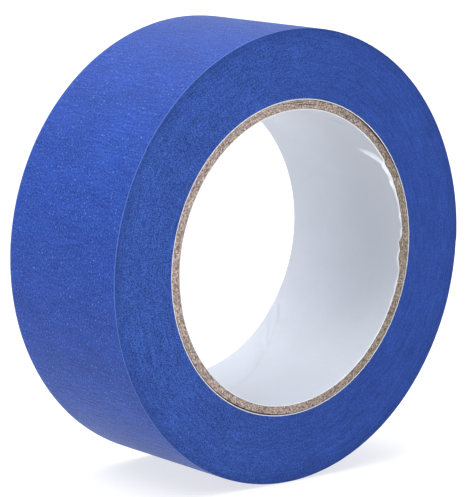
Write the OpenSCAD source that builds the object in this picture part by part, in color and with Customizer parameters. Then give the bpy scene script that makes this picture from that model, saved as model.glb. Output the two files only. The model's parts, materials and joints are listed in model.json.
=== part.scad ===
// Roll of masking tape on a spiral-wound paper core.
// The roll stands on its tread. Its axis lies along Y, and the origin is at
// the middle of the bore. The tape winds outwards clockwise, as seen from the
// -Y side, and its cut end lies on the +X side.

/* [Core] */
// Inside diameter of the core, for a 3 inch spindle
core_bore_d = 76.2; // [50:0.1:80]
// Thickness of the white liner paper in the bore
liner_t = 0.25; // [0.1:0.05:0.4]
// Thickness of one greyboard ply
ply_t = 0.55; // [0.3:0.05:0.6]
// Thickness of the white wrap paper round the plies
wrap_t = 0.25; // [0.1:0.05:0.4]
// How far the core's ends stand in from the tape's sides
core_inset = 0.1; // [0:0.05:1]

/* [Tape] */
// Width of the tape
tape_w = 42.5; // [18:0.5:50]
// Diameter over the outermost turn
roll_d = 117.4; // [100:0.2:150]
// Thickness of the tape with its adhesive coat
tape_t = 0.14; // [0.1:0.01:0.2]
// Thickness of the adhesive coat
adhesive_t = 0.04; // [0.03:0.005:0.06]

/* [Loose end] */
// Where the cut end lies, turned from +X towards +Z
end_angle = 0; // [-20:5:30]
// How much of the roll the loose end covers
end_arc = 60; // [30:6:90]
// Gap left under the loose end so that it lifts freely
end_gap = 0.02; // [0.01:0.005:0.025]

/* [Hidden] */

ply_count = 4;
link_count = 6;
core_w = tape_w - 2 * core_inset;
liner_r = core_bore_d / 2;
ply_r = liner_r + liner_t;
wrap_r = ply_r + ply_count * ply_t;
core_r = wrap_r + wrap_t;
backing_t = tape_t - adhesive_t;
link_arc = end_arc / link_count;
facet_arc = 2;
cut_margin = 1;

liner_color = [0.86, 0.88, 0.93];
greyboard_color = [0.66, 0.60, 0.53];
side_color = [0.18, 0.30, 0.62];
tread_color = [0.22, 0.37, 0.74];
adhesive_color = [0.42, 0.55, 0.80];

// Outer radius of the tape, a degrees of winding back from its cut end
function turn_r(a) = roll_d / 2 - tape_t * a / 360;

// Points on the spiral from a0 to a1 degrees back, at a depth under the tread
function turn_points(a0, a1, depth) =
    let (n = max(1, round(abs(a1 - a0) / facet_arc)))
    [for (i = [0 : n])
        let (a = a0 + (a1 - a0) * i / n)
        (turn_r(a) - depth) * [cos(a + end_angle), sin(a + end_angle)]];

// Extrudes an outline in X and Z to a width centred on the origin
module across(width) {
    rotate([90, 0, 0]) linear_extrude(height = width, center = true) children();
}

// Round rod along Y
module rod(r, length) {
    rotate([90, 0, 0]) cylinder(r = r, h = length, center = true, $fn = 180);
}

// One tube of the core, from its inner radius outwards
module core_tube(r, thickness) {
    difference() {
        rod(r + thickness, core_w);
        rod(r, core_w + cut_margin);
    }
}

// A length of tape that follows the spiral, between two depths under the tread
module tape_strip(a0, a1, top, bottom) {
    across(tape_w) polygon(concat(turn_points(a0, a1, top), turn_points(a1, a0, bottom)));
}

// White paper that lines the bore
module core_liner() {
    color(liner_color) core_tube(liner_r, liner_t);
}

// Greyboard ply number i, counted from the bore outwards
module core_ply(i) {
    color(greyboard_color) core_tube(ply_r + (i - 1) * ply_t, ply_t);
}

// White paper round the outside of the greyboard
module core_wrap() {
    color(liner_color) core_tube(wrap_r, wrap_t);
}

// All the wound turns under the outermost one, with the step of the spiral
module tape_pack() {
    color(side_color) difference() {
        across(tape_w) polygon(turn_points(0, 360, tape_t));
        rod(core_r, tape_w + cut_margin);
    }
}

// The outermost turn, up to the line where the loose end starts
module outer_turn() {
    color(tread_color) tape_strip(end_arc, 360, 0, tape_t);
}

// Angles back from the cut end at which link i of the loose end stops and starts
function link_end(i) = end_arc - i * link_arc;
function link_root(i) = end_arc - (i - 1) * link_arc;

// Crepe paper backing of link i, counted from the roll towards the cut end
module end_backing(i) {
    color(tread_color) tape_strip(link_end(i), link_root(i), 0, backing_t);
}

// Adhesive coat under the backing of link i
module end_adhesive(i) {
    color(adhesive_color) tape_strip(link_end(i), link_root(i), backing_t, tape_t - end_gap);
}

core_liner();
core_ply(1);  // core_ply_1
core_ply(2);  // core_ply_2
core_ply(3);  // core_ply_3
core_ply(4);  // core_ply_4
core_wrap();
tape_pack();
outer_turn();
end_backing(1);  // end_backing_1
end_backing(2);  // end_backing_2
end_backing(3);  // end_backing_3
end_backing(4);  // end_backing_4
end_backing(5);  // end_backing_5
end_backing(6);  // end_backing_6
end_adhesive(1);  // end_adhesive_1
end_adhesive(2);  // end_adhesive_2
end_adhesive(3);  // end_adhesive_3
end_adhesive(4);  // end_adhesive_4
end_adhesive(5);  // end_adhesive_5
end_adhesive(6);  // end_adhesive_6
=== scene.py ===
"""A roll of blue masking tape on a white-lined greyboard core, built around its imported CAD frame.

The roll's axis is Y. Angles run from +X towards +Z, and the tape winds outwards with falling angle,
so its cut end is reached from the higher angles. Depth runs along Y, and the front side is -Y.
Lengths are in metres.
"""
import json
import math

import bmesh
import bpy
import numpy as np
from mathutils import Matrix, Vector


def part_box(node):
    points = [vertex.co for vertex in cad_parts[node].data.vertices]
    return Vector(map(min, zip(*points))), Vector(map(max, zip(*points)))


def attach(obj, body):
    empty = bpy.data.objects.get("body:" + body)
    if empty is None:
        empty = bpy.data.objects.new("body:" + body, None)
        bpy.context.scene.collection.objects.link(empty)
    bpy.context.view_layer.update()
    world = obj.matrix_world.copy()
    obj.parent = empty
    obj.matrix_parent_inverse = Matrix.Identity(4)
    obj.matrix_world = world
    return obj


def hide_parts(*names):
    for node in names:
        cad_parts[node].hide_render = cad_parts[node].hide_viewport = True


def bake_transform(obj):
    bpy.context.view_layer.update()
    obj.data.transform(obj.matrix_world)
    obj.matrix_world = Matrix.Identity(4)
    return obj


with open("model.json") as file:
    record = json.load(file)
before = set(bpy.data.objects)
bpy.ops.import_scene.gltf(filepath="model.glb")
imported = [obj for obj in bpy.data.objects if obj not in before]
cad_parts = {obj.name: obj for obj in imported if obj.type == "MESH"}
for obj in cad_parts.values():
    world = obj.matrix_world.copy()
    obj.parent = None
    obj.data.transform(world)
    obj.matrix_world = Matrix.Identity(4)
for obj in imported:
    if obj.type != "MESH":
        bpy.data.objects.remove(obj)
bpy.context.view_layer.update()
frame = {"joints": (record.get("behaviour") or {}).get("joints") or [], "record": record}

MM = 0.001
mounts = {m["name"]: m for m in frame["record"]["mounts"]}
hinges = [Vector(j["pos_m"]) for j in frame["joints"]]


def outer_radius(node):
    """Outer radius of a round CAD node."""
    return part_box(node)[1].z


# Sizes of the roll, from the frame
BORE_R = mounts["core_bore"]["dims"]["r_mm"] * MM
CORE_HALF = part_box("core_liner")[1].y
TAPE_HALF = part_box("tape_pack")[1].y
CORE_R = outer_radius("core_wrap")
ROLL_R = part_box("end_backing_6")[1].x
PLY_NODES = ["core_ply_1", "core_ply_2", "core_ply_3", "core_ply_4"]
PLY_R = [outer_radius("core_liner")] + [outer_radius(n) for n in PLY_NODES]
LINKS = len(hinges)
ROOT_ANGLE = math.degrees(math.atan2(hinges[0].z, hinges[0].x))
LINK_ARC = ROOT_ANGLE / LINKS
ROOT_DROP = ROLL_R - math.hypot(hinges[0].x, hinges[0].z)
TAPE_T = ROOT_DROP * 360 / ROOT_ANGLE
ADHESIVE_T = 0.02 * MM
BACKING_T = 0.1 * MM
WINDING_MARGIN = 0.06 * MM


# ---------------------------------------------------------------- random shapes

def ripples(seed, count, low, high, tilt=0.0):
    """Waves for a smooth random function of angle: whole frequencies, phases, strengths and depth slopes."""
    rng = np.random.default_rng(seed)
    freq = rng.integers(low, high + 1, count)
    strength = (low / freq) ** 0.5 * rng.uniform(0.5, 1.0, count)
    strength /= math.sqrt((strength ** 2).sum() / 2)
    return freq, rng.uniform(0, 2 * math.pi, count), strength, rng.uniform(-tilt, tilt, count)


def rippled(waves, angle, depth=0.0):
    """The value of such a function, with a mean square of one, at angles in degrees and depths in metres."""
    freq, phase, strength, slope = waves
    a = np.radians(np.asarray(angle, float))[..., None]
    d = np.asarray(depth, float)[..., None] / MM
    return (strength * np.cos(freq * a + slope * d + phase)).sum(-1)


def bump(x, centre, half_width):
    """A smooth hump of height one."""
    return np.exp(-((np.asarray(x, float) - centre) / half_width) ** 2)


def ramp(x, start, end):
    """Rises smoothly from nought at start to one at end, either of which may be the larger."""
    t = np.clip((np.asarray(x, float) - start) / (end - start), 0, 1)
    return t * t * (3 - 2 * t)


def turned(angle, centre):
    """The angle from centre to angle, between -180 and 180 degrees."""
    return (np.asarray(angle, float) - centre + 180) % 360 - 180


# ---------------------------------------------------------------- meshes

def round_points(radius, angle, depth):
    """Points at a radius and an angle about the roll's axis, at a depth along it."""
    radius, angle, depth = np.broadcast_arrays(radius, angle, depth)
    a = np.radians(angle)
    return np.stack([radius * np.cos(a), depth, radius * np.sin(a)], -1)


def make_piece(name, points, faces, material):
    """A closed mesh object from a list of points and faces, with its normals turned outwards."""
    mesh = bpy.data.meshes.new(name)
    mesh.from_pydata(points.reshape(-1, 3).tolist(), [], faces)
    shape = bmesh.new()
    shape.from_mesh(mesh)
    bmesh.ops.recalc_face_normals(shape, faces=shape.faces)
    shape.to_mesh(mesh)
    shape.free()
    mesh.polygons.foreach_set("use_smooth", [True] * len(mesh.polygons))
    mesh.materials.append(material)
    piece = bpy.data.objects.new(name, mesh)
    bpy.context.scene.collection.objects.link(piece)
    return piece


def loft(name, rings, material, closed):
    """A closed solid through rings of points. It joins up with itself, or is capped at both ends, where the
    second half of a ring runs back along the first."""
    steps, sides = rings.shape[:2]
    index = np.arange(steps * sides).reshape(steps, sides)
    if closed:
        index = np.vstack([index, index[:1]])
    a, b = index[:-1], index[1:]
    skins = np.stack([a, b, np.roll(b, -1, 1), np.roll(a, -1, 1)], -1).reshape(-1, 4).tolist()
    if not closed:
        half = sides // 2
        for ring in (index[0], index[-1][::-1]):
            skins += quads(ring[:half], ring[half:][::-1]).tolist()
    return make_piece(name, rings, skins, material)


def quads(a, b):
    """Quads between two rows of vertex numbers."""
    return np.stack([a[:-1], b[:-1], b[1:], a[1:]], -1)


def store(piece, name, values):
    """Keeps a value for each of the piece's points, for its material to read."""
    layer = piece.data.attributes.new(name, "FLOAT", "POINT")
    layer.data.foreach_set("value", values.astype(np.float32).ravel())


def sharpen(piece, degrees):
    """Keeps the piece's crisp edges crisp under smooth shading."""
    piece.data.set_sharp_from_angle(angle=math.radians(degrees))


# ---------------------------------------------------------------- materials

class Paint:
    """Builds the nodes of one material. Each method adds a node and returns its output socket."""

    def __init__(self, name, roughness, specular=0.5):
        self.material = bpy.data.materials.new(name)
        self.material.use_nodes = True
        self.tree = self.material.node_tree
        self.surface = self.tree.nodes["Principled BSDF"]
        self.surface.inputs["Roughness"].default_value = roughness
        self.surface.inputs["Specular IOR Level"].default_value = specular

    def node(self, kind, inputs=(), **settings):
        made = self.tree.nodes.new(kind)
        for key, value in settings.items():
            setattr(made, key, value)
        for key, value in dict(inputs).items():
            if isinstance(value, bpy.types.NodeSocket):
                self.tree.links.new(value, made.inputs[key])
            else:
                made.inputs[key].default_value = value
        return made

    def math(self, operation, a, b=0.0, c=0.0):
        return self.node("ShaderNodeMath", {0: a, 1: b, 2: c}, operation=operation).outputs[0]

    def times(self, a, b):
        return self.math("MULTIPLY", a, b)

    def clamped(self, value, low, high):
        """Nought at low, one at high, and held there beyond them."""
        ends = {"Value": value, "From Min": low, "From Max": high}
        return self.node("ShaderNodeMapRange", ends, interpolation_type="SMOOTHSTEP").outputs[0]

    def place(self):
        """Where the point is on the object, in millimetres."""
        at = self.node("ShaderNodeTexCoord").outputs["Object"]
        return self.scaled(at, 1 / MM)

    def scaled(self, vector, factor):
        factors = (factor,) * 3 if isinstance(factor, (int, float)) else factor
        return self.node("ShaderNodeVectorMath", {0: vector, 1: factors}, operation="MULTIPLY").outputs[0]

    def split(self, vector):
        return self.node("ShaderNodeSeparateXYZ", {0: vector}).outputs

    def joined(self, x, y, z):
        return self.node("ShaderNodeCombineXYZ", {0: x, 1: y, 2: z}).outputs[0]

    def polar(self):
        """Radius, depth and the direction from the axis, in millimetres."""
        at = self.split(self.place())
        flat = self.joined(at["X"], 0.0, at["Z"])
        radius = self.node("ShaderNodeVectorMath", {0: flat}, operation="LENGTH").outputs["Value"]
        way = self.node("ShaderNodeVectorMath", {0: flat}, operation="NORMALIZE").outputs[0]
        return radius, at["Y"], self.split(way)

    def noise(self, vector, scale=1.0, detail=3.0, roughness=0.55):
        ends = {"Vector": vector, "Scale": scale, "Detail": detail, "Roughness": roughness}
        return self.node("ShaderNodeTexNoise", ends).outputs["Fac"]

    def mixed(self, share, a, b, blend="MIX"):
        mix = self.node("ShaderNodeMix", data_type="RGBA", blend_type=blend)
        for socket, value in ((mix.inputs[0], share), (mix.inputs[6], a), (mix.inputs[7], b)):
            if isinstance(value, bpy.types.NodeSocket):
                self.tree.links.new(value, socket)
            else:
                socket.default_value = value
        return mix.outputs[2]

    def product(self, colour, *others):
        """Colours multiplied together."""
        for other in others:
            colour = self.mixed(1.0, colour, other, "MULTIPLY")
        return colour

    def stored(self, name):
        """A value that was stored for each of the piece's points."""
        return self.node("ShaderNodeAttribute", attribute_name=name).outputs["Fac"]

    def on_tape(self):
        """Where the point is along and across the tape, in millimetres."""
        return self.node("ShaderNodeUVMap", uv_map="tape").outputs[0]

    def stops(self, value, colours):
        """A colour ramp through (position, colour) pairs."""
        ramp_node = self.node("ShaderNodeValToRGB", {"Fac": value})
        elements = ramp_node.color_ramp.elements
        while len(elements) < len(colours):
            elements.new(0.5)
        for element, (position, colour) in zip(elements, colours):
            element.position = position
            element.color = colour
        return ramp_node.outputs[0]

    def relief(self, *heights):
        """Bumps from (height, size in millimetres) pairs, one over the other."""
        normal = None
        for height, size in heights:
            ends = {"Height": height, "Distance": size * MM, "Strength": 1.0}
            if normal is not None:
                ends["Normal"] = normal
            normal = self.node("ShaderNodeBump", ends).outputs[0]
        self.tree.links.new(normal, self.surface.inputs["Normal"])

    def coloured(self, colour):
        self.tree.links.new(colour, self.surface.inputs["Base Color"])
        return self.material


def tint(r, g, b):
    return (r, g, b, 1.0)


def shade(colour, factor):
    return tint(*(c * factor for c in colour[:3]))


TREAD_BLUE = tint(0.0145, 0.052, 0.300)
SIDE_BLUE = tint(0.0255, 0.075, 0.355)
ADHESIVE_BLUE = tint(0.075, 0.150, 0.480)
BOARD_GREY = tint(0.418, 0.334, 0.299)
LINER_WHITE = tint(0.55, 0.58, 0.645)
WRAP_WHITE = tint(0.90, 0.90, 0.93)
# Raw paper fibre and painted highlight on the liner
RAW_FIBRE_AND_HIGHLIGHT_WHITE = tint(0.93, 0.95, 0.98)
# Dried glue darkened into the painted shade of the splits
GLUE_AND_SHADE_BROWN = tint(0.050, 0.038, 0.030)
# Painted shade for the right-hand side of the cut edges
RIGHT_SIDE_SHADE_TINT = tint(0.68, 0.80, 0.92)
TORN_BLUE = tint(0.22, 0.34, 0.68)


def crepe_paint():
    """Blue crepe paper: fine cross-wise crinkles, a dense grain, pale fibre specks and paler rims, partly
    worn and partly a painted highlight.
    """
    paint = Paint("crepe_paper", roughness=0.58, specular=0.10)
    paint.surface.inputs["Sheen Weight"].default_value = 0.36
    paint.surface.inputs["Sheen Roughness"].default_value = 0.3
    paint.surface.inputs["Sheen Tint"].default_value = tint(0.75, 0.85, 1.0)
    at = paint.on_tape()
    crinkle = paint.noise(paint.scaled(at, (1.0, 0.16, 0.0)), 1.15, 4.0, 0.6)
    grain = paint.noise(at, 2.1, 3.0, 0.7)
    mottle = paint.noise(paint.scaled(at, (1.0, 0.45, 0.0)), 0.14, 3.0, 0.6)
    patch = paint.clamped(paint.noise(at, 0.22, 3.0, 0.6), 0.35, 0.65)
    speck = paint.clamped(paint.noise(at, 1.6, 1.5, 0.5), 0.62, 0.72)
    cloudy = paint.stops(mottle, [(0.3, shade(TREAD_BLUE, 0.89)), (0.7, shade(TREAD_BLUE, 1.11))])
    grained = paint.stops(grain, [(0.36, tint(0.36, 0.44, 0.58)), (0.64, tint(1.86, 1.66, 1.44))])
    crinkled = paint.stops(crinkle, [(0.34, tint(0.80, 0.84, 0.90)), (0.66, tint(1.24, 1.18, 1.10))])
    colour = paint.product(cloudy, grained, crinkled)
    dotted = paint.times(speck, paint.math("MULTIPLY_ADD", patch, 0.45, 0.30))
    colour = paint.mixed(dotted, colour, tint(0.15, 0.27, 0.66))
    aside = paint.math("ABSOLUTE", paint.split(at)["Y"])
    # Paler rims: partly wear, partly a painted highlight where the eased rims catch the light.
    rim = paint.clamped(aside, TAPE_HALF / MM - 0.42, TAPE_HALF / MM - 0.12)
    colour = paint.mixed(paint.times(rim, 0.42), colour, tint(0.16, 0.28, 0.66))
    colour = paint.mixed(paint.stored("torn"), colour, TORN_BLUE)
    paint.relief((crinkle, 0.22), (grain, 0.10))
    return paint.coloured(colour)


def side_paint():
    """The stacked cut edges of the turns: rings of slightly different blue under a coarse fibrous grain."""
    paint = Paint("cut_edges", roughness=0.70, specular=0.20)
    radius, _, way = paint.polar()
    rings = paint.joined(paint.times(radius, 2.2), paint.times(way["X"], 9.0), paint.times(way["Z"], 9.0))
    streak = paint.noise(rings, 1.0, 3.0, 0.6)
    bands = paint.noise(paint.joined(paint.times(radius, 0.35), 0.0, 0.0), 1.0, 3.0, 0.6)
    at = paint.place()
    grain = paint.noise(at, 3.6, 3.0, 0.75)
    cloud = paint.noise(at, 0.09, 2.0, 0.5)
    rim = ROLL_R / MM
    rim_shade_band = paint.clamped(radius, rim - 3.2, rim - 1.0)
    edge = paint.clamped(radius, rim - 0.8, rim - 0.3)
    streaked = paint.stops(streak, [(0.3, shade(SIDE_BLUE, 0.80)), (0.7, shade(SIDE_BLUE, 1.20))])
    grained = paint.stops(grain, [(0.39, tint(0.30, 0.36, 0.48)), (0.61, tint(2.35, 2.05, 1.70))])
    # Painted shade and light: the cut edges grow darker, with fainter grain, towards +X.
    smooth = paint.clamped(way["X"], -0.9, 0.9)
    grained = paint.mixed(paint.times(smooth, 0.6), grained, RIGHT_SIDE_SHADE_TINT)
    faint = [(0.3, tint(0.94, 0.94, 0.95)), (0.7, tint(1.06, 1.06, 1.05))]
    colour = paint.product(streaked, grained, paint.stops(cloud, faint), paint.stops(bands, faint))
    # Painted shade: a darker band, and a darker edge, just inside the rim.
    colour = paint.mixed(paint.times(rim_shade_band, 0.28), colour, shade(SIDE_BLUE, 0.62))
    colour = paint.mixed(paint.times(edge, 0.15), colour, shade(SIDE_BLUE, 0.45))
    paint.relief((streak, 0.04), (grain, 0.08))
    return paint.coloured(colour)


def adhesive_paint():
    """The sticky side: blue paper seen through a clear, faintly lumpy rubber coat."""
    paint = Paint("adhesive", roughness=0.42, specular=0.4)
    at = paint.on_tape()
    coat = paint.noise(at, 0.8, 3.0, 0.6)
    crinkle = paint.noise(paint.scaled(at, (1.0, 0.16, 0.0)), 1.7, 3.0, 0.6)
    colour = paint.stops(coat, [(0.3, shade(ADHESIVE_BLUE, 0.85)), (0.7, shade(ADHESIVE_BLUE, 1.15))])
    paint.surface.inputs["Coat Weight"].default_value = 0.25
    paint.surface.inputs["Coat Roughness"].default_value = 0.25
    paint.relief((crinkle, 0.04), (coat, 0.03))
    return paint.coloured(colour)


def board_paint():
    """Grey recycled board: matted fibres that run round the core, with dark, pale and rusty flecks."""
    paint = Paint("greyboard", roughness=0.88, specular=0.2)
    radius, depth, way = paint.polar()
    around = paint.joined(paint.times(radius, 2.0), paint.times(depth, 2.0), 0.0)
    turning = paint.joined(0.0, paint.times(way["X"], 34.0), paint.times(way["Z"], 34.0))
    along = paint.node("ShaderNodeVectorMath", {0: around, 1: turning}, operation="ADD").outputs[0]
    fibre = paint.noise(along, 1.15, 4.0, 0.7)
    at = paint.place()
    grain = paint.noise(at, 2.5, 3.0, 0.75)
    hue = paint.noise(at, 0.9, 2.0, 0.6)
    dark = paint.clamped(paint.noise(along, 0.8, 2.0, 0.5), 0.63, 0.72)
    pale = paint.clamped(paint.noise(at, 1.7, 1.0, 0.5), 0.66, 0.76)
    base = paint.stops(fibre, [(0.34, shade(BOARD_GREY, 0.44)), (0.66, shade(BOARD_GREY, 1.55))])
    grained = paint.stops(grain, [(0.36, tint(0.34, 0.34, 0.36)), (0.64, tint(1.72, 1.70, 1.66))])
    warm = paint.stops(hue, [(0.32, tint(0.95, 1.0, 1.03)), (0.5, tint(1, 1, 1)),
                             (0.68, tint(1.08, 0.98, 0.93))])
    colour = paint.product(base, grained, warm)
    # Painted shade: the board grows darker towards +X.
    right_side_shade = paint.clamped(way["X"], -0.3, 1.0)
    colour = paint.mixed(right_side_shade, colour, tint(0.72, 0.74, 0.69), "MULTIPLY")
    colour = paint.mixed(paint.times(dark, 0.8), colour, tint(0.10, 0.075, 0.055))
    colour = paint.mixed(paint.times(pale, 0.6), colour, tint(0.78, 0.76, 0.70))
    paint.relief((fibre, 0.15), (grain, 0.15))
    return paint.coloured(colour)


def paper_paint(name, colour, roughness, marked=False):
    """Thin white paper with a faint cloudiness and a fine tooth. Marked paper is whiter where it is torn,
    with raw fibre and painted highlight, and where its fold and lip take a painted highlight; it is darker
    with painted shade along its seam, wrinkles, fold and pucker and near its mouth."""
    paint = Paint(name, roughness=roughness, specular=0.4)
    at = paint.place()
    cloud = paint.noise(at, 0.10, 3.0, 0.55)
    tooth = paint.noise(at, 3.0, 3.0, 0.6)
    clouded = paint.stops(cloud, [(0.3, shade(colour, 0.98)), (0.7, shade(colour, 1.02))])
    toothed = paint.stops(tooth, [(0.3, tint(0.98, 0.98, 0.98)), (0.7, tint(1.02, 1.02, 1.02))])
    finish = paint.product(clouded, toothed)
    if marked:
        smudge = paint.clamped(paint.noise(at, 0.55, 3.0, 0.6), 0.60, 0.74)
        finish = paint.mixed(paint.times(smudge, 0.10), finish, shade(colour, 0.6))
        # Painted shade from the liner's stored mark: its seam, wrinkles, fold, pucker and mouth.
        finish = paint.mixed(paint.stored("painted_shade"), finish, shade(colour, 0.72))
        # Whiter from the liner's stored mark: raw fibre and painted highlight at its cut edge, painted
        # highlight on its fold and lip.
        finish = paint.mixed(paint.stored("raw_and_highlight"), finish, RAW_FIBRE_AND_HIGHLIGHT_WHITE)
    paint.relief((cloud, 0.15), (tooth, 0.006))
    return paint.coloured(finish)


def glue_and_shade_paint():
    """Dried glue between the papers of the core, darkened into painted shade, which shows as a dark line
    where the board has split.
    """
    paint = Paint("glue_and_gap_shade", roughness=0.6, specular=0.2)
    patch = paint.noise(paint.place(), 1.2, 3.0, 0.6)
    return paint.coloured(paint.stops(patch, [(0.35, GLUE_AND_SHADE_BROWN), (0.65, shade(GLUE_AND_SHADE_BROWN, 2.0))]))


crepe = crepe_paint()
cut_edges = side_paint()
adhesive = adhesive_paint()
greyboard = board_paint()
liner_paper = paper_paint("liner_paper", LINER_WHITE, 0.42, marked=True)
wrap_paper = paper_paint("wrap_paper", WRAP_WHITE, 0.7)
glue_and_gap_shade = glue_and_shade_paint()


# ---------------------------------------------------------------- the wound tape

def winding_noise(seed, turns_back, spacing):
    """A random value that drifts along the winding, with a fresh draw every so many turns."""
    rng = np.random.default_rng(seed)
    knots = np.arange(0, turns_back.max() + 2 * spacing, spacing)
    return np.interp(turns_back, knots, rng.standard_normal(len(knots)))


# How the turns drift sideways: (random seed, turns between draws, size in mm)
WINDING_DRIFT = ((11, 0.17, 0.011), (12, 1.0, 0.008), (13, 5.0, 0.010))
TURN_STEPS = 180


def wound_tape():
    """Every turn under the outermost one, as one strip wound in a true spiral from the core outwards.

    Sample i lies i steps back from the strip's end. It has an outer and an inner border on both sides of
    the roll, and a turn's inner border lies on the outer border of the turn under it, a little in or out."""
    per_turn = TURN_STEPS
    last = int((ROLL_R - 2 * TAPE_T - CORE_R) / TAPE_T * per_turn)
    turns = np.arange(last + 1) / per_turn
    radius = ROLL_R - TAPE_T - TAPE_T * turns
    shift = MM * sum(size * winding_noise(seed, turns, spacing) for seed, spacing, size in WINDING_DRIFT)
    rng = np.random.default_rng(14)
    rows = []
    for side in (-1, 1):
        for border in (0, TAPE_T):
            nick = 0.006 * MM * rng.standard_normal(last + 1)
            proud = np.clip(shift + nick, -WINDING_MARGIN, WINDING_MARGIN)
            edge = side * (TAPE_HALF - WINDING_MARGIN) + proud
            rows.append(round_points(radius - border, turns * 360, edge))
    travel = np.radians(turns * 360) * ROLL_R / MM
    place = np.stack([np.tile(travel, 4), np.concatenate(rows)[:, 1] / MM], -1)
    index = np.arange(4 * (last + 1)).reshape(2, 2, last + 1)
    index[:, 0, per_turn] = index[:, 1, 0]
    index[:, 1, last - per_turn] = index[:, 0, last]
    under = last - per_turn
    faces = []
    for out, inn in index:
        faces.append(quads(out, inn))
        faces.append(quads(inn[:under + 1], out[per_turn:]))
    (out_a, in_a), (out_b, in_b) = index
    skin = len(np.concatenate(faces))
    faces.append(quads(out_a[:per_turn + 1], out_b[:per_turn + 1]))
    faces.append(quads(in_a[under:], in_b[under:]))
    for end in (0, last):
        faces.append(np.array([[out_a[end], in_a[end], in_b[end], out_b[end]]]))
    faces = [list(dict.fromkeys(face)) for face in np.concatenate(faces).tolist()]
    piece = make_piece("wound_tape", np.concatenate(rows), faces, cut_edges)
    pin_down(piece, place)
    piece.data.materials.append(crepe)
    for face in piece.data.polygons[skin:skin + per_turn]:
        face.material_index = 1
    sharpen(piece, 30)
    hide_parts("tape_pack")
    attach(piece, "roll")


# ---------------------------------------------------------------- the outermost turn and the loose end

def patchy(seed, u, v, cell_u, cell_v):
    """Smooth random relief over a sheet, in cells of a given size."""
    rng = np.random.default_rng(seed)
    u, v = np.asarray(u, float) / cell_u, np.asarray(v, float) / cell_v
    u0, v0 = np.floor(u.min()), np.floor(v.min())
    grid = rng.standard_normal((int(u.max() - u0) + 3, int(v.max() - v0) + 3))
    iu, iv = np.floor(u - u0).astype(int), np.floor(v - v0).astype(int)
    fu, fv = u - u0 - iu, v - v0 - iv
    fu, fv = fu * fu * (3 - 2 * fu), fv * fv * (3 - 2 * fv)
    near = grid[iu, iv] * (1 - fv) + grid[iu, iv + 1] * fv
    far = grid[iu + 1, iv] * (1 - fv) + grid[iu + 1, iv + 1] * fv
    return near * (1 - fu) + far * fu


def turn_radius(angle):
    """Outer radius of the outermost turn, by the angle back from its cut end."""
    return ROLL_R - TAPE_T * np.asarray(angle, float) / 360


TREAD_SHEET_U = math.radians(360) * ROLL_R / MM


def tread_relief(angle, depth):
    """How far the tread lies under its true round shape: crepe crinkles, soft lumps and eased rims."""
    u = np.radians(angle) * ROLL_R / MM
    v = depth / MM
    ends_u = np.concatenate([np.ravel(u), [0.0, TREAD_SHEET_U]])
    ends_v = np.concatenate([np.ravel(v), [-30.0, 30.0]])

    def sheet(seed, cell_u, cell_v):
        return patchy(seed, ends_u, ends_v, cell_u, cell_v)[:-2].reshape(np.shape(u))

    crinkle = 0.006 * sheet(21, 0.9, 4.5) + 0.006 * sheet(22, 1.6, 7.0)
    lumps = 0.004 * sheet(23, 9.0, 12.0) + 0.010 * sheet(24, 24.0, 40.0)
    front = TAPE_HALF / MM + v
    back = TAPE_HALF / MM - v
    eased = 0.07 * np.exp(-front / 0.22) + 0.09 * np.exp(-back / 0.6)
    return MM * (np.clip(0.05 + crinkle + lumps, 0.0, 0.12) + eased)


RIM_STEPS = np.array([0.03, 0.12, 0.30, 0.65, 1.3]) * MM
FLAT_STEPS = 37
TURN_COLUMNS = 760
LINK_COLUMNS = 27
HALF_LINK_COLUMNS = 14
TORN_EDGE = (0.8, 0.25)
EDGE_WANDER = ripples(25, 9, 3, 24)


def tape_length(name, start, end, top, bottom, material, relief, columns, cut=None):
    """A length of tape from one angle back to another, between two depths under the tread.

    cut(depth) is how far, in degrees, the strip's start is set back at each depth."""
    near_rim = TAPE_HALF - RIM_STEPS
    flat = np.linspace(-near_rim[-1], near_rim[-1], FLAT_STEPS)[1:-1]
    across = np.concatenate([-near_rim, flat, near_rim[::-1]])
    share = np.linspace(0, 1, columns)[:, None]
    setback = cut(across) if cut else np.zeros(len(across))
    angle = start + setback * (1 - share) + (end - start) * share
    depth = np.broadcast_to(across, angle.shape)
    wander = WINDING_MARGIN * 0.5 * rippled(EDGE_WANDER, angle) * np.abs(depth) / TAPE_HALF
    depth = np.clip(depth + wander, -TAPE_HALF, TAPE_HALF)
    sink = tread_relief(angle, depth) if relief else np.zeros(angle.shape)
    outer = round_points(turn_radius(angle) - top - sink, angle, depth)
    inner = round_points(turn_radius(angle) - bottom, angle, depth)[:, ::-1]
    rings = np.concatenate([outer, inner], 1)
    piece = loft(name, rings, material, closed=False)
    place = np.stack([np.radians(angle) * ROLL_R / MM, depth / MM], -1)
    pin_down(piece, np.concatenate([place, place[:, ::-1]], 1))
    if cut:
        torn = np.zeros(rings.shape[:2])
        torn[:2] = np.array(TORN_EDGE)[:, None]
        store(piece, "torn", torn)
    sharpen(piece, 50)
    return piece


def pin_down(piece, place):
    """Stores each point's place along and across the tape, in millimetres, as the map named tape."""
    place = place.reshape(-1, 2)
    layer = piece.data.uv_layers.new(name="tape")
    corner = np.empty(len(piece.data.loops), int)
    piece.data.loops.foreach_get("vertex_index", corner)
    layer.data.foreach_set("uv", place[corner].astype(np.float32).ravel())


def outer_turn():
    """The outermost turn, from the line where the loose end starts round to the winding under it."""
    piece = tape_length("outermost_turn", ROOT_ANGLE, 360, 0, TAPE_T, crepe, True, TURN_COLUMNS)
    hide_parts("outer_turn")
    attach(piece, "roll")


def cut_line(depth):
    """The end of the tape was snapped off a little askew, with a finely torn edge."""
    askew = 0.35 * (depth / TAPE_HALF + 1) / 2
    torn = 0.10 * patchy(31, depth / MM + 30, np.zeros(len(depth)), 1.1, 1.0)
    return np.clip(0.25 + askew + torn, 0.02, 1.0)


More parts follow.
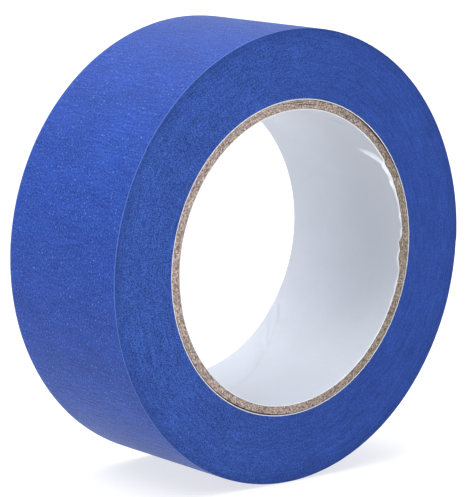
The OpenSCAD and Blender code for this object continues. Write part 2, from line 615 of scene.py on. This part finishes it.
def loose_end():
    """The end of the tape, in lengths with the adhesive under them.

    A length runs from the middle of one link to the middle of the next, and the first starts at its hinge,
    where the tape leaves the roll. Every length but the last stays where it is made, on no body; the last
    goes with the last link."""
    bodies = ["roll"] + [f"end_link_{i + 1}" for i in range(LINKS)]
    layers = (("loose_backing", "end_backing", "tape_backing", crepe, 0, BACKING_T),
              ("loose_adhesive", "end_adhesive", "adhesive", adhesive, BACKING_T, BACKING_T + ADHESIVE_T))
    for i in range(LINKS + 1):
        end = ROOT_ANGLE - LINK_ARC * max(i - 0.5, 0)
        start = max(ROOT_ANGLE - LINK_ARC * (i + 0.5), 0)
        cut = cut_line if i == LINKS else None
        columns = HALF_LINK_COLUMNS if i in (0, LINKS) else LINK_COLUMNS
        for name, node, slot, material, top, bottom in layers:
            piece = tape_length(f"{name}_{i}", start, end, top, bottom, material, top == 0, columns, cut)
            if i < LINKS:
                before, middle = (round_points(hinges[i].length, angle, 0.0) for angle in (end, start))
                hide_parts(f"{node}_{i + 1}")
                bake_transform(piece)
            else:
                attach(piece, bodies[i])


# ---------------------------------------------------------------- the core

AROUND = np.arange(0, 360, 0.5)[:, None]
FRONT = -CORE_HALF
FRONT_STEPS = np.array([0, 0.25, 0.6, 1.1, 1.8, 2.8, 4.2, 6.5, 10.0, 16.0]) * MM


def saw_marks(seed, angle, share):
    """The rough end of a sawn ply, in from its end plane, at a share of its thickness from the bore side."""
    u = np.radians(angle) * PLY_R[0] / MM
    u, share = np.broadcast_arrays(u, share)
    coarse = patchy(seed, np.ravel(u), np.ravel(share) + seed, 0.9, 0.6)
    fine = patchy(seed + 1, np.ravel(u), np.ravel(share) + seed, 0.35, 0.3)
    return MM * np.clip(0.05 + 0.022 * coarse + 0.016 * fine, 0.0, 0.14).reshape(u.shape)


def loosened(angle, zones):
    """How wide, in metres, a ply stands off the next one, by (middle, half-width, gap in mm) zones."""
    return MM * sum(gap * bump(turned(angle, middle), 0, width) for middle, width, gap in zones)


# Where the board has split between its plies at the front end, by ply from the bore outwards
FRONT_SPLITS = {
    1: [(38, 14, 0.05)],
    2: [(88, 5, 0.14), (30, 12, 0.08), (-75, 8, 0.06)],
    3: [(92, 4, 0.16), (52, 15, 0.12), (150, 12, 0.08)],
    4: [(46, 22, 0.44), (84, 10, 0.14), (-112, 28, 0.34), (-150, 14, 0.12), (146, 16, 0.05)],
}
BACK_SPLITS = {
    1: [(-120, 20, 0.05)],
    2: [(10, 20, 0.07)],
    3: [(170, 25, 0.08)],
    4: [(70, 30, 0.12), (-60, 25, 0.10)],
}
SPLIT_DEPTH = 4.0 * MM
END_SHARES = np.array([0.0, 0.33, 0.67, 1.0])
WRAP_CLEARANCE = 0.01 * MM
WRAP_END = 1.5 * MM


def show_glue_and_shade(piece, facing):
    """Coats the faces that look away from the roll's axis, or towards it, in the glue that joined them,
    painted dark as shade.
    """
    piece.data.materials.append(glue_and_gap_shade)
    for face in piece.data.polygons:
        way = Vector((face.center.x, 0, face.center.z)).normalized()
        face.material_index = int(face.normal.dot(way) * facing > 0.5)


def board_ply(number):
    """One ply of the board: a tube with rough sawn ends, which has split away a little from the next ply."""
    inner_r, outer_r = PLY_R[number - 1], PLY_R[number]
    run = np.concatenate([FRONT_STEPS, [CORE_HALF]])
    walls = np.concatenate([run - CORE_HALF, (CORE_HALF - run)[-2::-1]])
    from_end = CORE_HALF - np.abs(walls)
    hold = np.exp(-(from_end / SPLIT_DEPTH) ** 2)
    gap = hold * np.where(walls < 0, loosened(AROUND, FRONT_SPLITS[number]),
                          loosened(AROUND, BACK_SPLITS[number]))
    outer = outer_r - gap
    inner = np.full_like(outer, inner_r)
    rows = []
    for sign, seed in ((-1, 40 + 10 * number), (1, 45 + 10 * number)):
        column = 0 if sign < 0 else -1
        radius = inner[:, [column]] + (outer[:, [column]] - inner[:, [column]]) * END_SHARES
        rows.append(round_points(radius, AROUND, sign * (CORE_HALF - saw_marks(seed, AROUND, END_SHARES))))
    front, back = rows
    depth = np.broadcast_to(walls, outer.shape)
    outside = round_points(outer, AROUND, depth)[:, 1:-1]
    inside = round_points(inner, AROUND, depth)[:, 1:-1]
    rings = np.concatenate([front, outside, back[:, ::-1], inside[:, ::-1]], 1)
    piece = loft(f"board_ply_{number}", rings, greyboard, closed=True)
    sharpen(piece, 45)
    show_glue_and_shade(piece, 1)
    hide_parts(f"core_ply_{number}")
    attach(piece, "roll")


def wrap_sheet():
    """The white paper round the board, with dried glue darkened into painted shade on its inner face, and
    slightly frayed ends.
    """
    inner_r, outer_r = PLY_R[-1] + WRAP_CLEARANCE, CORE_R - WRAP_CLEARANCE
    fray = MM * (0.05 + 0.03 * rippled(ripples(61, 24, 20, 260), AROUND))
    fray = np.clip(fray, 0.0, 0.14 * MM)
    depth = np.concatenate([fray - CORE_HALF, fray - CORE_HALF + WRAP_END,
                            CORE_HALF - WRAP_END - fray, CORE_HALF - fray], 1)
    outside, inside = (round_points(r, AROUND, depth) for r in (outer_r, inner_r))
    rings = np.concatenate([outside, inside[:, ::-1]], 1)
    piece = loft("white_wrap", rings, wrap_paper, closed=True)
    sharpen(piece, 45)
    show_glue_and_shade(piece, -1)
    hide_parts("core_wrap")
    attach(piece, "roll")


# The liner's marks. A place on it is (millimetres in from its front end, degrees round the bore).
LINER_ARC = math.radians(1) * BORE_R / MM
LINER_T = 0.2
SEAM_START = (28.7, -71.7)
SEAM_RISE = 0.30
FOLD = [(9.4, 43.2), (4.0, 40.6), (1.9, 38.5), (-0.8, 34.5)]
WRINKLES = [[(41.6, -32.5), (36.2, -44.5)], [(40.4, -43.0), (36.0, -51.9), (34.0, -55.0)],
            [(35.8, -55.2), (30.8, -65.9), (29.3, -69.5)]]
PUCKER = [(7.4, 65.0), (3.6, 59.0)]
# How far the marks stand off the board, in millimetres
SEAM_LIFT = 0.10
WRINKLE_LIFT, WRINKLE_GROOVE = 0.36, 0.32
FOLD_LIFT = 0.60
PUCKER_LIFT = 0.22
LIP_LIFT = 0.36
# The lip runs between two angles. The rest are (middle, half-width) in degrees, and a tear's depth in mm.
LIP = (8, 37)
# The strokes are painted highlight along the liner's cut edge.
STROKES = [(11.7, 1.7), (5.2, 1.9), (-4.3, 3.4), (-15.5, 2.6)]
FRAYED_PATCH = (50.0, 11.0)
TEARS = [(1.2, 2.3, 1.1), (-4.4, 3.4, 0.95)]
# How strongly painted shade darkens the liner near its mouth, and where the painted shade beside a wrinkle
# lies, in mm
MOUTH_SHADE = 0.55
WRINKLE_SHADE_SIDE = -0.6
SHEET_START = 200


def near_line(angle, inward, line):
    """Signed distance in millimetres from a bent line on the liner, and how far along it, from 0 to 1."""
    u, v = np.broadcast_arrays(angle * LINER_ARC, inward)
    best, along = np.full(u.shape, 1e9), np.zeros(u.shape)
    for i, ((v0, a0), (v1, a1)) in enumerate(zip(line, line[1:])):
        du, dv = (a1 - a0) * LINER_ARC, v1 - v0
        length = math.hypot(du, dv)
        share = np.clip(((u - a0 * LINER_ARC) * du + (v - v0) * dv) / length ** 2, 0, 1)
        off_u, off_v = u - a0 * LINER_ARC - share * du, v - v0 - share * dv
        distance = np.copysign(np.hypot(off_u, off_v), off_u * dv - off_v * du)
        nearer = np.abs(distance) < np.abs(best)
        best = np.where(nearer, distance, best)
        along = np.where(nearer, (i + share) / (len(line) - 1), along)
    return best, along


def fading(along, softness=0.3):
    """Fades a line's mark in and out towards its ends."""
    return ramp(along, 0.0, softness) * ramp(along, 1.0, 1.0 - softness)


def lip_shape(angle, from_edge):
    """The lip that has come unstuck at the mouth: how far it stands off, and how much painted highlight
    whitens it.
    """
    lip = ramp(angle, LIP[0], LIP[0] + 9) * ramp(angle, LIP[1] + 1, LIP[1] - 2)
    tall = ramp(angle, 22, 28) * ramp(angle, LIP[1] + 1, LIP[1] - 2)
    uneven = 1 + 0.22 * np.cos(np.radians(angle * 31)) + 0.16 * np.cos(np.radians(angle * 53 + 40))
    lift = LIP_LIFT * lip * uneven * np.where(from_edge < 1.0, bump(from_edge, 1.0, 0.8),
                                              bump(from_edge, 1.0, 2.0))
    # Painted highlight on the lifted lip.
    raw_and_highlight = lip * uneven * (0.45 + 0.55 * tall) * ramp(from_edge, 0.5 + 0.8 * tall, 0.25 + 0.55 * tall)
    return lift, raw_and_highlight


def frayed_edge(angle):
    """How far in from its edge the liner is frayed and whiter, in millimetres, with raw fibre and painted
    highlight.
    """
    torn = sum(bump(angle, middle, width) for middle, width, depth in TEARS)
    stroke = sum(bump(angle, middle, width) for middle, width in STROKES)
    quiet = ramp(angle, -22, -18) * ramp(angle, 22, 18)
    along = np.ravel(angle) * LINER_ARC + SHEET_START
    frayed = 0.26 + 0.10 * patchy(73, along, np.zeros(angle.size), 1.1, 1.0)[:, None]
    return np.clip(frayed * (1 - 0.6 * quiet) + 0.62 * stroke * quiet + 0.10 * torn
                   + 0.26 * bump(angle, *FRAYED_PATCH), 0.10, 0.72)


def liner_shape(angle, inward, from_edge):
    """How far the liner stands off the board, in millimetres, and, from 0 to 1, where it is whitened by raw
    fibre and painted highlight and where it is darkened by painted shade.
    """
    seam = inward - SEAM_START[0] - SEAM_RISE * turned(angle, SEAM_START[1])
    lift = SEAM_LIFT * ramp(seam, -0.8, 0.0) * ramp(seam, 5.0, 0.6)
    # Painted shade: the liner is darker near its mouth, on the upper right of the bore.
    mouth_shade = MOUTH_SHADE * ramp(angle, -55, 5) * ramp(angle, 110, 50) * ramp(inward, 34, 8)
    # Painted shadow along the seam, where the overlapping edge of the liner stands off.
    painted_shade = 0.12 * bump(seam, -0.5, 0.45) + mouth_shade
    for line in WRINKLES:
        off, along = near_line(angle, inward, line)
        fade = fading(along)
        lift = lift + fade * (WRINKLE_LIFT * bump(off, 0, 2.2) - WRINKLE_GROOVE * bump(off, 0, 0.7))
        # Painted shade along one side of each wrinkle.
        painted_shade = painted_shade + 0.22 * fade * bump(off, WRINKLE_SHADE_SIDE, 0.4)
    off, along = near_line(angle, inward, FOLD)
    swell = ramp(along, 0.0, 0.4) * ramp(along, 1.1, 0.7)
    lift = lift + FOLD_LIFT * swell * np.where(off > 0, bump(off, 0, 1.5), bump(off, 0, 0.45))
    # Painted highlight along the ridge of the fold.
    raw_and_highlight = 0.95 * ramp(along, 0.03, 0.3) * bump(off, -0.1, 0.34 + 0.56 * bump(along, 0.5, 0.3))
    # Painted shade along the foot of the fold.
    painted_shade = painted_shade + 0.35 * swell * bump(off, -1.0, 0.5)
    off, along = near_line(angle, inward, PUCKER)
    lift = lift + PUCKER_LIFT * fading(along) * bump(off, 0, 0.5)
    # Painted shade beside the pucker.
    painted_shade = painted_shade + 0.90 * fading(along) * bump(off, 0.5, 0.35)
    lip_lift, lip_highlight = lip_shape(angle, from_edge)
    # Painted highlight on the lip, and raw fibre with painted highlight along the cut edge.
    raw_and_highlight = raw_and_highlight + lip_highlight + 0.9 * ramp(from_edge, frayed_edge(angle), 0.04)
    soft = 0.03 * patchy(71, angle * LINER_ARC + SHEET_START, inward, 11.0, 8.0)
    return lift + lip_lift + np.clip(soft + 0.04, 0, 0.12), np.clip(raw_and_highlight, 0, 1), np.clip(painted_shade, 0, 1)


def liner():
    """The white paper that lines the bore, with its seam, wrinkles and a lip that has come unstuck."""
    fine, middling, coarse = 0.35, 0.75, 2.0
    angle = np.concatenate([np.arange(-180, -80, coarse), np.arange(-80, -12, middling),
                            np.arange(-12, 47, fine), np.arange(47, 70, middling),
                            np.arange(70, 180, coarse)])[:, None]
    along = (angle * LINER_ARC + SHEET_START)[:, 0]
    torn = 0.05 * patchy(72, along, np.zeros(len(angle)), 0.6, 1.0)[:, None]
    ragged = 0.3 + 0.9 * ramp(angle, -16, 0) * ramp(angle, 50, 40)
    start = np.clip(0.06 + torn * ragged, 0.01, 0.3)
    start = start + sum(depth * bump(angle, middle, width) for middle, width, depth in TEARS)
    far = 2 * CORE_HALF / MM - 0.05
    from_edge = np.concatenate([np.arange(0, 2.4, 0.12), np.arange(2.4, 9, 0.33), np.arange(9, 27, 0.9),
                                np.linspace(27, far, 34)])
    inward = start + from_edge * (1 - start / far)
    lift, raw_and_highlight, painted_shade = liner_shape(angle, inward, from_edge)
    radius = BORE_R - MM * lift
    depth = FRONT + inward * MM
    inside, outside = (round_points(r, angle, depth) for r in (radius, radius + LINER_T * MM))
    rings = np.concatenate([inside, outside[:, ::-1]], 1)
    piece = loft("bore_liner", rings, liner_paper, closed=True)
    for name, mark in (("raw_and_highlight", raw_and_highlight), ("painted_shade", painted_shade)):
        store(piece, name, np.concatenate([mark, mark[:, ::-1]], 1))
    sharpen(piece, 60)
    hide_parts("core_liner")
    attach(piece, "roll")


# ---------------------------------------------------------------- stage

FLOOR_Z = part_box("outer_turn")[0].z
FLOOR_SIZE = 12
FLOOR_GREY = tint(0.38, 0.38, 0.38)
FLOOR_GLOW = 0.70
# The world's strength away from its bright side and towards it, and as the camera sees it
BRIGHT_SIDE = (0.05, 0.75, 0.65)
WORLD_GLOW = (0.25, 0.92)
WORLD_SEEN = 1.05
SUN_FROM = (-0.2, 0.25, 1.0)
SOFTBOX_AT = (-0.26, -0.26, 0.36)


def lamp(name, kind, towards, energy, **settings):
    """A lamp that shines from a point or a direction towards the roll."""
    light = bpy.data.lights.new(name, kind)
    light.energy = energy
    for key, value in settings.items():
        setattr(light, key, value)
    made = bpy.data.objects.new(name, light)
    bpy.context.scene.collection.objects.link(made)
    made.location = towards
    made.rotation_euler = Vector(towards).to_track_quat("Z", "Y").to_euler()


def stage():
    """A wide pale floor, soft light all round, a broad sun above and a softbox to the left."""
    bpy.ops.mesh.primitive_plane_add(size=FLOOR_SIZE, location=(0, 0, FLOOR_Z))
    floor = bpy.context.object
    floor.name = "floor"
    white = Paint("floor_white", roughness=0.9, specular=0.1)
    white.surface.inputs["Base Color"].default_value = FLOOR_GREY
    white.surface.inputs["Emission Color"].default_value = tint(1.0, 1.0, 1.0)
    white.surface.inputs["Emission Strength"].default_value = FLOOR_GLOW
    floor.data.materials.append(white.material)

    world = bpy.data.worlds.new("studio")
    world.use_nodes = True
    nodes, links = world.node_tree.nodes, world.node_tree.links
    way = nodes.new("ShaderNodeTexCoord").outputs["Generated"]
    facing = nodes.new("ShaderNodeVectorMath")
    facing.operation = "DOT_PRODUCT"
    facing.inputs[1].default_value = Vector(BRIGHT_SIDE).normalized()
    glow = nodes.new("ShaderNodeMapRange")
    glow.interpolation_type = "SMOOTHSTEP"
    for socket, value in zip(("From Min", "From Max", "To Min", "To Max"), (-0.7, 0.9, *WORLD_GLOW)):
        glow.inputs[socket].default_value = value
    links.new(way, facing.inputs[0])
    links.new(facing.outputs["Value"], glow.inputs["Value"])
    seen = nodes.new("ShaderNodeMix")
    links.new(nodes.new("ShaderNodeLightPath").outputs["Is Camera Ray"], seen.inputs[0])
    links.new(glow.outputs[0], seen.inputs[2])
    seen.inputs[3].default_value = WORLD_SEEN
    links.new(seen.outputs[0], nodes["Background"].inputs["Strength"])
    nodes["Background"].inputs["Color"].default_value = tint(0.97, 0.985, 1.0)
    bpy.context.scene.world = world

    lamp("top_softbox", "SUN", SUN_FROM, 2.8, angle=math.radians(70))
    lamp("left_softbox", "AREA", SOFTBOX_AT, 0.6, shape="DISK", size=0.3)


# Where the photograph was taken from: angles in degrees, distances in outer radii of the roll
AZIMUTH, ELEVATION, LEAN = -41.28, 9.42, 1.915
DISTANCE, ASIDE, RAISED = 11.279, -0.0333, -0.0086
SENSOR_MM = 24.0
SENSORS_TO_LENS = 5.116


def camera():
    """The camera stands off to the front left, a little above, and leans slightly to one side."""
    azimuth, elevation, lean = (math.radians(angle) for angle in (AZIMUTH, ELEVATION, LEAN))
    distance, aside, raised = (ROLL_R * length for length in (DISTANCE, ASIDE, RAISED))
    back = Vector((math.sin(azimuth) * math.cos(elevation), -math.cos(azimuth) * math.cos(elevation),
                   math.sin(elevation)))
    right = Vector((math.cos(azimuth), math.sin(azimuth), 0))
    above = back.cross(right)
    right, above = (right * math.cos(lean) + above * math.sin(lean),
                    above * math.cos(lean) - right * math.sin(lean))
    data = bpy.data.cameras.new("camera")
    data.sensor_fit = "VERTICAL"
    data.sensor_height = SENSOR_MM
    data.lens = SENSOR_MM * SENSORS_TO_LENS
    data.clip_start, data.clip_end = 0.01, 50
    cam = bpy.data.objects.new("camera", data)
    bpy.context.scene.collection.objects.link(cam)
    turn = Matrix((right, above, back)).transposed().to_4x4()
    cam.matrix_world = Matrix.Translation(back * distance + right * aside + above * raised) @ turn
    bpy.context.scene.camera = cam


wound_tape()
outer_turn()
loose_end()
for ply in range(1, len(PLY_R)):
    board_ply(ply)
wrap_sheet()
liner()
stage()
camera()

bpy.context.scene.view_settings.view_transform = "Standard"
